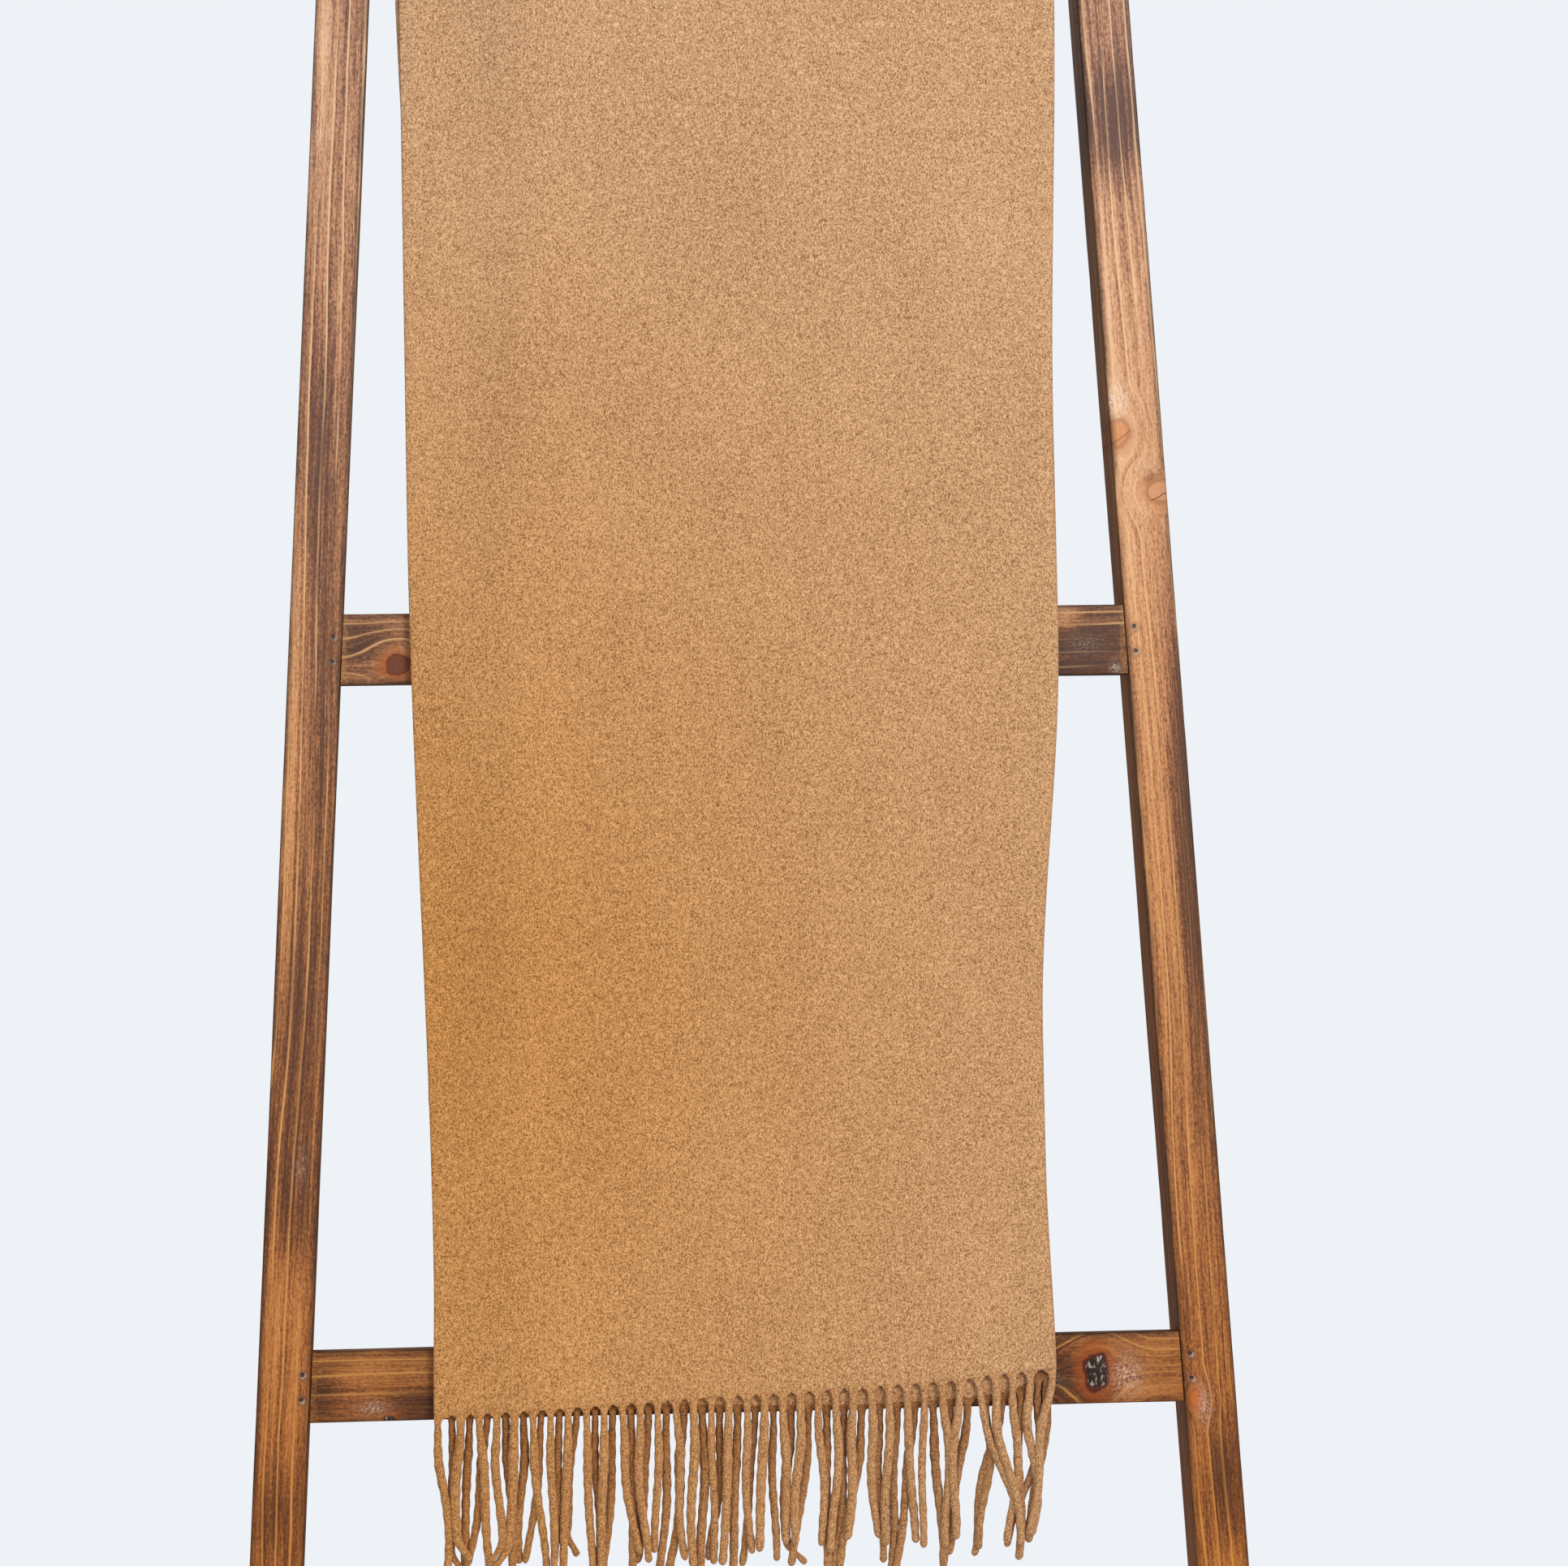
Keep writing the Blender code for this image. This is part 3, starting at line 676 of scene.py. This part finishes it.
# ---------------------------------------- brads
# Two headed steel brads pin each tenon through the rail's front. They are set just below
# the face, and the hammer and punch left a small torn pit over each head.
steel, tree, shader = new_material("dull_brad_steel")
shader.inputs["Metallic"].default_value = 1.0
tarnish = grain(tree, add(tree, "TexCoord").outputs["Object"], (2400.0,) * 3, 3.0)
tree.links.new(blend_colours(tree, tarnish, paint(54, 48, 42), paint(112, 104, 96)),
               shader.inputs["Base Color"])
tree.links.new(remap(tree, tarnish, 0.3, 0.7, 0.35, 0.65), shader.inputs["Roughness"])
for name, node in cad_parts.items():
    if name.startswith("brad_"):
        for slot in node.material_slots:
            slot.material = steel

# ---------------------------------------- throw
# One length of brushed camel wool, 0.73 m wide and 1.60 m long, folded once along its
# length with the fold on the right and the two selvedges on the left. It hangs over the
# top rung, and its front leaf lies on the two rungs below.
FLAT_LENGTH = 1.60
CLOTH = 0.0024                       # one leaf
LEAF_SPACING = 0.0034                # between the middles of the two leaves
ON_RUNG = 0.0037                     # from a rung's face to the middle of the pair
RUNG_FACE = RUNG_MIDDLE_DEPTH - RUNG_DEPTH / 2
HEM_HEIGHT = 0.555                   # up the slope, at the middle of the front hem
HEM_TILT = 0.0155                    # its rise from left to right
SAG = {"lower": 0.0070, "middle": 0.0040}   # how far the front dips above each rung
BEND = 0.0058                        # round each top arris, to the middle of the pair
COLUMNS = 84                         # across one leaf
FOLD_STEPS = 6
FRONT_STEPS = 240                    # points of the hang line in front
BEND_STEPS = 8                       # and round each top arris
TURN_HEIGHT = 1.40                   # up the slope, where the throw turns over
BACK_STEP = 0.004                    # between two points of the hang line behind
LEAF_WIDTH = 0.36
HEM_LEFT, HEM_SPAN = -0.178, 0.352   # where a hem is measured across the leaf
CLOSE_ROWS = 30                      # rows of mesh over the top rung
ROW_STEP = 0.0074
SELVEDGE = 0.0016                    # how far in from a free edge the nap rounds it off
NAP_STEPS = (0.0, 0.15, 0.45, 1.0)   # rows of mesh in that strip, as shares of it


def left_edge(height):
    """Where the selvedges hang, at a height up the slope."""
    return -0.1855 + 0.0085 * ease(height, 1.06, 0.62) - 0.0012 * ease(height, 0.63, 0.55)


def right_edge(height):
    """Where the fold hangs."""
    return (0.1835 + 0.0050 * ease(height, 1.10, 1.36) - 0.0125 * ease(height, 0.985, 0.76)
            + 0.0032 * ease(height, 0.68, 0.55))


rung_heights = {name: slope_height(middle("rung_" + name)) for name in rungs}


def front_point(height):
    """The middle of the pair in front of the rungs, at a height up the slope."""
    dip = 0.0
    for low, high in (("lower", "middle"), ("middle", "top")):
        start = rung_heights[low] + RUNG_HEIGHT / 2
        end = rung_heights[high] - RUNG_HEIGHT / 2
        if start < height < end:
            share = (height - start) / (end - start)
            dip = SAG[low] * math.sin(math.pi * share ** 0.8) ** 2
    return foot + up * height + inward * (RUNG_FACE - ON_RUNG + dip)


def hang_line():
    """The middle of the pair in side view, from below the front hem to the back hem."""
    points = []
    top = rung_heights["top"] + RUNG_HEIGHT / 2
    lowest = HEM_HEIGHT - 0.03
    arris = BEND - ON_RUNG
    for i in range(FRONT_STEPS + 1):
        points.append(front_point(lowest + (top - arris - lowest) * i / FRONT_STEPS))
    lean = math.atan2(up.y, up.z)
    for depth, start, end in ((RUNG_FACE + arris, math.pi - lean, math.pi / 2 - lean / 2),
                              (RUNG_FACE + RUNG_DEPTH - arris, math.pi / 2 - lean / 2, 0.0)):
        centre = foot + up * (top - arris) + inward * depth
        for i in range(1, BEND_STEPS + 1):
            angle = start + (end - start) * i / BEND_STEPS
            points.append(centre + Vector((0.0, math.cos(angle), math.sin(angle))) * BEND)
    last = points[-1]
    points += [last - Vector((0.0, 0.0, BACK_STEP * i)) for i in range(1, 260)]
    return points


line = hang_line()
travelled = [0.0]
for a, b in zip(line, line[1:]):
    travelled.append(travelled[-1] + (b - a).length)


def on_line(distance):
    """The point at a distance along the hang line, and the direction out of the cloth."""
    low = max(0, min(bisect_right(travelled, distance) - 1, len(travelled) - 2))
    share = (distance - travelled[low]) / (travelled[low + 1] - travelled[low])
    before = line[low + 1] - line[max(low - 1, 0)]
    after = line[min(low + 2, len(line) - 1)] - line[low]
    along = before.normalized().lerp(after.normalized(), share).normalized()
    return line[low].lerp(line[low + 1], share), Vector((0.0, -along.z, along.y))


FRONT_END = travelled[FRONT_STEPS]   # where the front meets the bend
BACK_START = travelled[FRONT_STEPS + 2 * BEND_STEPS]
MIDDLE_HEM = 0.03                    # distance of the front hem's middle along the line


def front_hem(x, leaf):
    """Distance along the line of the front hem. The rear leaf (leaf 1) has slipped down
    a little except at the fold."""
    rise = HEM_TILT * x / 0.35 + 0.0035 * ease(x, 0.11, 0.18)
    slip = 0.0115 * ease(x, -0.12, 0.10) * ease(x, 0.176, 0.150)
    return MIDDLE_HEM + rise - leaf * slip + 0.0008 * noise.noise((x * 40.0, leaf, 1.0))


def back_hem(x, leaf):
    """The same of the back hem."""
    return MIDDLE_HEM + FLAT_LENGTH + 0.8 * (front_hem(x, leaf) - MIDDLE_HEM)


def billow(x, distance, leaf):
    """How far the cloth stands out from the hang line: soft flutes, creases and drift."""
    height = HEM_HEIGHT - MIDDLE_HEM + distance
    if distance < FRONT_END:
        flute = 0.0062 * math.exp(-((x + 0.124 - 0.012 * ease(height, 1.0, 1.3)) / 0.026) ** 2)
        flute *= 0.55 + 0.45 * ease(height, 0.60, 0.80)
        crease = 0.0030 * math.exp(-((x + 0.012) / 0.045) ** 2
                                   - ((height - 0.612 - 0.06 * (x + 0.02)) / 0.0065) ** 2)
        soft = (0.0012 * noise.noise((x * 7.0, height * 3.0, 4.0))
                + 0.0004 * noise.noise((x * 26.0, height * 14.0, 9.0)))
        return flute + crease + max(-0.0006, soft)
    if distance < BACK_START:
        return 0.0004 * noise.noise((x * 12.0, 0.0, 3.0))
    drop = distance - BACK_START
    sway = (0.0045 * noise.noise((x * 9.0, drop * 1.5, 7.0))
            + 0.0008 * noise.noise((x * 30.0, drop * 9.0, 2.0)))
    return sway * ease(drop, 0.02, 0.30)


def width_at(distance):
    """Left and right edge of the folded throw."""
    if distance <= BACK_START:
        height = min(HEM_HEIGHT - MIDDLE_HEM + distance, TURN_HEIGHT)
        return left_edge(height), right_edge(height)
    drop = distance - BACK_START
    slip = 0.010 * ease(drop, 0.0, 0.15)
    return left_edge(TURN_HEIGHT) + slip, right_edge(TURN_HEIGHT - drop)


def cloth_point(share, leaf, distance, turn=None):
    """A point of the throw's mid surface. leaf is 0 at the front and 1 behind."""
    left, right = width_at(distance)
    if leaf and turn is None:
        left += 0.0022 - 0.0050 * ease(distance, FRONT_END - 0.22, FRONT_END - 0.02)
    x = left + (right - LEAF_SPACING - left) * share
    puff = 0.0020 * math.exp(-((right - x) / 0.014) ** 2)
    behind, front = -LEAF_SPACING / 2, LEAF_SPACING / 2 + puff
    if turn is None:
        out = behind if leaf else front
    else:
        radius = (front - behind) / 2
        x += radius * math.sin(turn)
        out = (front + behind) / 2 + radius * math.cos(turn)
    centre, outward = on_line(distance)
    return centre + outward * (out + billow(x, distance, leaf)) + Vector((x, 0.0, 0.0))


def cloth_rows(count):
    """Shares of the way from hem to hem, closer together over the top rung and at the
    hems."""
    ends = ((FRONT_END - 0.02 - MIDDLE_HEM) / FLAT_LENGTH,
            (BACK_START + 0.02 - MIDDLE_HEM) / FLAT_LENGTH)
    shares = [i / count for i in range(1, count)]
    kept = [s for s in shares if not ends[0] < s < ends[1]]
    over = [ends[0] + (ends[1] - ends[0]) * (i + 0.5) / CLOSE_ROWS for i in range(CLOSE_ROWS)]
    close = [SELVEDGE / FLAT_LENGTH * t for t in NAP_STEPS]
    return sorted(kept + over + close + [1.0 - t for t in close])


def thickness(from_edge):
    """The cloth's thickness near a free edge, as a share of its full thickness."""
    short = max(0.0, 1.0 - from_edge / SELVEDGE)
    return math.sqrt(max(0.04, 1.0 - short * short))


selvedge = [SELVEDGE / LEAF_WIDTH * t for t in NAP_STEPS]
shares = selvedge + [(i + 1) / COLUMNS for i in range(COLUMNS)]
columns = [(share, 0, None) for share in shares]
columns += [(1.0, 0.5, math.pi * i / FOLD_STEPS) for i in range(1, FOLD_STEPS)]
columns += [(share, 1, None) for share in reversed(shares)]
bm = bmesh.new()
grid, weights = [], []
for row in cloth_rows(round(FLAT_LENGTH / ROW_STEP)):
    verts = []
    for share, leaf, turn in columns:
        x = HEM_LEFT + HEM_SPAN * share
        start, end = front_hem(x, leaf), back_hem(x, leaf)
        verts.append(bm.verts.new(cloth_point(share, leaf, start + (end - start) * row, turn)))
        from_hem = min(row, 1.0 - row) * FLAT_LENGTH
        weights.append(thickness(share * LEAF_WIDTH) * thickness(from_hem))
    grid.append(verts)
for low, high in zip(grid, grid[1:]):
    for i in range(len(columns) - 1):
        bm.faces.new((low[i], low[i + 1], high[i + 1], high[i]))
throw = piece("wool_throw", bm)
edges = throw.vertex_groups.new(name="edges")
for i, weight in enumerate(weights):
    edges.add([i], weight, "REPLACE")
shell = throw.modifiers.new("cloth_thickness", "SOLIDIFY")
shell.thickness = CLOTH
shell.offset = 0.0
shell.vertex_group = "edges"

# Tints painted over the wool's colour: a deeper orange where it is painted as less lit, and painted
# shade on the rear row of tassels.
PAINTED_DIM_TINT = (0.95, 0.73, 0.37, 1.0)
REAR_ROW_SHADE_TINT = (0.66, 0.57, 0.48, 1.0)


def camel_wool(name, light, dark, fleck):
    """Brushed wool: flecks of lighter and darker fibre over a soft, cloudy ground."""
    material, tree, shader = new_material(name)
    shader.inputs["Roughness"].default_value = 0.95
    shader.inputs["Specular IOR Level"].default_value = 0.12
    shader.inputs["Sheen Weight"].default_value = 0.22
    shader.inputs["Sheen Roughness"].default_value = 0.5
    shader.inputs["Sheen Tint"].default_value = (1.0, 0.90, 0.78, 1.0)
    place = add(tree, "TexCoord").outputs["Object"]
    nap = grain(tree, place, (fleck, fleck, fleck * 0.70), 2.0, 0.6)
    tuft = grain(tree, place, (fleck * 0.42, fleck * 0.42, fleck * 0.30), 2.0, 0.6)
    cloud = grain(tree, place, (16.0, 16.0, 7.0), 3.0, 0.55)
    tone = sums(tree, "MULTIPLY_ADD", sums(tree, "SUBTRACT", nap, 0.5), 2.9, 0.5)
    tone = sums(tree, "MULTIPLY_ADD", sums(tree, "SUBTRACT", tuft, 0.5), 0.75, tone)
    tone = sums(tree, "MULTIPLY_ADD", sums(tree, "SUBTRACT", cloud, 0.5), 0.25, tone)
    tone = add(tree, "Clamp", {0: tone}).outputs[0]
    colour = blend_colours(tree, tone, dark, light)

    # Painted light: the wool is painted a deeper orange low down and to the left, and paler toward the
    # top rung and the right, where the key lamp falls. It is also a little paler at the hem.
    across, _, height = add(tree, "SeparateXYZ", {0: place}).outputs
    painted_dim_share = sums(tree, "MULTIPLY", remap(tree, height, 1.42, 0.70),
                 remap(tree, across, 0.22, -0.20, 0.30, 1.0))
    painted_dim_share = sums(tree, "MULTIPLY", painted_dim_share, remap(tree, height, 0.50, 0.82, 0.80, 1.0))
    painted_dim_colour = blend_colours(tree, 1.0, colour, PAINTED_DIM_TINT, "MULTIPLY")
    colour = blend_colours(tree, painted_dim_share, colour, painted_dim_colour)
    # Painted shade: the rear row of tassels is painted darker.
    rear_row_shade = add(tree, "Attribute", attribute_name="rear_row_shade").outputs["Fac"]
    shaded = blend_colours(tree, 1.0, colour, REAR_ROW_SHADE_TINT, "MULTIPLY")
    colour = blend_colours(tree, rear_row_shade, colour, shaded)
    tree.links.new(colour, shader.inputs["Base Color"])
    pile = sums(tree, "MULTIPLY_ADD", nap, 0.7, sums(tree, "MULTIPLY", tuft, 0.4))
    bump = add(tree, "Bump", {"Height": pile, "Strength": 0.9, "Distance": 0.0009})
    tree.links.new(bump.outputs["Normal"], shader.inputs["Normal"])
    return material


wool = camel_wool("camel_wool", paint(238, 192, 148), paint(146, 100, 62), 1250.0)
throw.data.materials.append(wool)
settle(throw, 60.0)
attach(throw, "throw")
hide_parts("throw")

# ---------------------------------------- fringes
# The warp ends of each hem are rolled into soft two-ply tassels, one every 10 mm on both
# leaves. They spread from the cloth's edge, lie on the rung and then hang plumb.
TASSEL_PITCH = 0.0101
TASSEL_LENGTH = 0.096
TASSEL_RADIUS = 0.0030
TASSEL_SIDES = 14
TASSEL_STEPS = 44
ROOT = 0.004                         # how far each root runs up inside the cloth
ARCH = 0.0034                        # height of the round gap between two roots
PLY_TWIST = 0.019                    # length of one turn
HOOKED = 0.05                        # share of tassels whose tips curl up


def tassel(bm, root, pitch, tip_shift, wave, phase, depth_shift, hook, length, radius, course,
           edge=0):
    """One tassel from inside the hem to its tip. The course gives its line before it
    wanders. edge is -1 or 1 for the first or last one, whose outer side runs straight on."""
    loops = []
    ways = [-ROOT + (length - radius + ROOT) * (i / TASSEL_STEPS) ** 1.15
            for i in range(TASSEL_STEPS + 1)]
    ways += [length - radius + radius * math.sin(math.pi / 2 * k / 5) for k in range(1, 6)]
    for way in ways:
        share = max(0.0, way / length)
        rolled = ease(way, 0.0, 0.0065)
        blunt = max(0.0, (way - (length - radius)) / radius)
        full = radius * (1.0 + 0.10 * noise.noise((root * 900.0, way * 120.0, phase)))
        full *= 0.72 + 0.28 * ease(way, 0.004, 0.028) - 0.20 * share
        arch = max(0.0, 1.0 - max(0.0, way) / ARCH)
        wide = max(full, pitch / 2 - (pitch / 2 - full) * math.sqrt(1.0 - arch * arch))
        thick = full + (CLOTH * 0.47 - full) * (1.0 - rolled)
        tip = math.sqrt(max(0.03, 1.0 - blunt * blunt))
        wide, thick = wide * tip, thick * tip
        point, out = course(way)
        sideways = tip_shift * share ** 1.2 + hook * ease(share, 0.80, 1.0)
        swing = math.sin(phase + 6.5 * share) - math.sin(phase) * (1.0 - share)
        sideways += wave * swing * ease(share, 0.0, 0.35)
        outer = pitch / 2 - max(wide, radius * 0.7)
        sideways += edge * outer * (1.0 - ease(way, 0.010, 0.050))
        point = point + Vector((root + sideways, 0.0, abs(hook) * 0.4 * ease(share, 0.85, 1.0)))
        point = point + out * depth_shift * share ** 0.7
        square = 0.30 + 0.70 * ease(way, 0.0, 0.004)
        loop = []
        for k in range(TASSEL_SIDES):
            angle = 2 * math.pi * k / TASSEL_SIDES
            c, s = math.cos(angle), math.sin(angle)
            twist = angle - 2 * math.pi * way / PLY_TWIST - phase
            ply = 1.0 - 0.13 * rolled * math.sin(twist) ** 2
            ply *= 1.0 + 0.05 * rolled * noise.noise((k * 3.1 + root * 500.0, way * 900.0, phase))
            offset = Vector((math.copysign(abs(c) ** square, c) * wide, 0.0, 0.0))
            offset += out * math.copysign(abs(s) ** square, s) * thick
            loop.append(bm.verts.new(point + offset * ply))
        loops.append(loop)
    skin(bm, loops)


rung_foot_height = rung_heights["lower"] - RUNG_HEIGHT / 2


def front_course(x, leaf):
    """The line of a front tassel: down the rung's face, then plumb below its edge."""
    start = front_hem(x, leaf)
    _, outward = on_line(max(0.0, start))
    rise = ON_RUNG + LEAF_SPACING / 2 * (1 if leaf == 0 else -1) + billow(x, start, leaf)
    clear = 0.0068 if leaf == 0 else 0.0031

    def course(way):
        height = HEM_HEIGHT - MIDDLE_HEM + start - way
        below = max(0.0, rung_foot_height - height)
        stand = rise + (clear - rise) * ease(way, 0.0, 0.010)
        bent = below * below / (below + 0.012)
        point = foot + up * height + inward * (RUNG_FACE - stand)
        return point + Vector((0.0, bent * up.y, bent * (up.z - 1.0))), outward
    return course


def back_course(x, leaf):
    """The line of a back tassel: plumb from the hem."""
    start = back_hem(x, leaf)
    hem, outward = on_line(start)
    out = LEAF_SPACING / 2 * (1 if leaf == 0 else -1) + billow(x, start, leaf)
    spread = 0.0016 * (1 if leaf == 0 else -1)

    def course(way):
        stand = out + spread * ease(way, 0.0, 0.012)
        return hem + outward * stand - Vector((0.0, 0.0, way)), outward
    return course


def fringe(name, node, course_at, seed):
    """Both rows of tassels along one end of the throw. Neighbours lean together in twos
    and threes."""
    rng = random.Random(seed)
    bm = bmesh.new()
    left, right = left_edge(HEM_HEIGHT), right_edge(HEM_HEIGHT)
    count = round((right - left) / TASSEL_PITCH)
    pitch = (right - left) / count
    for leaf in (0, 1):
        i = 0
        while i < count:
            bunch = min(rng.choice((1, 2, 2, 2, 3, 3)), count - i)
            meet = left + pitch * (i + bunch / 2) + rng.gauss(0.0, 0.0022)
            for k in range(bunch):
                slip = 0.5 * leaf * (1 if i + k < count - 1 else 0)
                x = left + pitch * (i + k + 0.5 + slip)
                loose = 1.0 + 1.3 * ease(x, 0.09, 0.15)
                tip = (meet + (k - (bunch - 1) / 2) * rng.uniform(0.0022, 0.0062) - x) * loose
                hook = 0.0
                if rng.random() < HOOKED:
                    hook = rng.choice((-1, 1)) * rng.uniform(0.006, 0.012)
                edge = 0 if leaf else (i + k == count - 1) - (i + k == 0)
                wave = rng.uniform(0.0003, 0.0015) * loose
                phase = rng.uniform(0, 6.28)
                depth_shift = (0.0016 if k % 2 else -0.0008) * (1 if leaf == 0 else -1)
                depth_shift += rng.uniform(-0.0004, 0.0010)
                length = TASSEL_LENGTH * rng.uniform(0.90, 1.03)
                radius = TASSEL_RADIUS * rng.uniform(0.88, 1.12)
                tassel(bm, x, pitch, tip, wave, phase, depth_shift, hook, length, radius,
                       course_at(x, leaf), edge)
            i += bunch
        if leaf == 0:
            front_count = len(bm.verts)
    obj = piece(name, bm)
    obj.data.shade_smooth()
    # Painted shade on the rear row, darkest near the hem where the front row covers it.
    rear_row_shade = obj.data.attributes.new("rear_row_shade", "FLOAT", "POINT").data
    top = max(vert.co.z for vert in obj.data.vertices)
    for i in range(front_count, len(rear_row_shade)):
        rear_row_shade[i].value = 1.0 - 0.6 * ease(top - obj.data.vertices[i].co.z, 0.025, 0.095)
    obj.data.materials.append(fringe_wool)
    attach(obj, "throw")
    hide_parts(node)
    return obj


fringe_wool = camel_wool("camel_fringe", paint(230, 182, 136), paint(138, 92, 54), 1300.0)
front_fringe = fringe("front_fringe", "fringe_front", front_course, 21)
back_fringe = fringe("back_fringe", "fringe_back", back_course, 22)

low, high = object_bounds()
